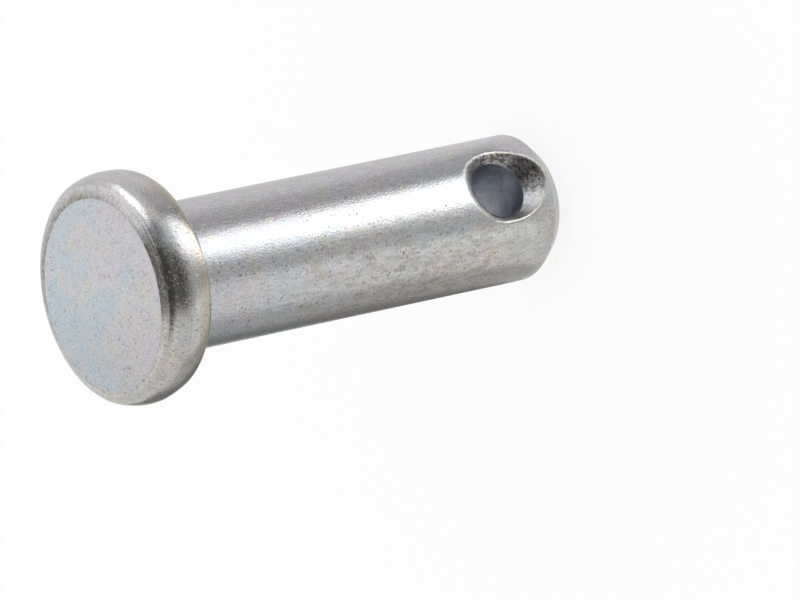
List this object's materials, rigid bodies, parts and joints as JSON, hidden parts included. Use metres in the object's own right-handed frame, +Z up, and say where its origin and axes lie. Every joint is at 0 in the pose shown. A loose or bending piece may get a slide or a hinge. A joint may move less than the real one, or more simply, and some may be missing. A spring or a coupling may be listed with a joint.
{
  "type": "clevis pin",
  "caption": "Headed clevis pin with a plain round shank, a chamfered tail and a countersunk cross hole that takes a split pin.",
  "frame": {"origin": "centre of the tail's end face, on which the pin stands", "axes": "+Z up the shank from the tail to the head, Y along the cross hole"},
  "size_m": [0.022, 0.022, 0.0502],
  "materials": {
    "zinc_plated_steel": "zinc plated with a clear blue passivate, satin with small pits"
  },
  "bodies": {
    "root": {"clevis_pin": "zinc_plated_steel"}
  },
  "joints": []
}
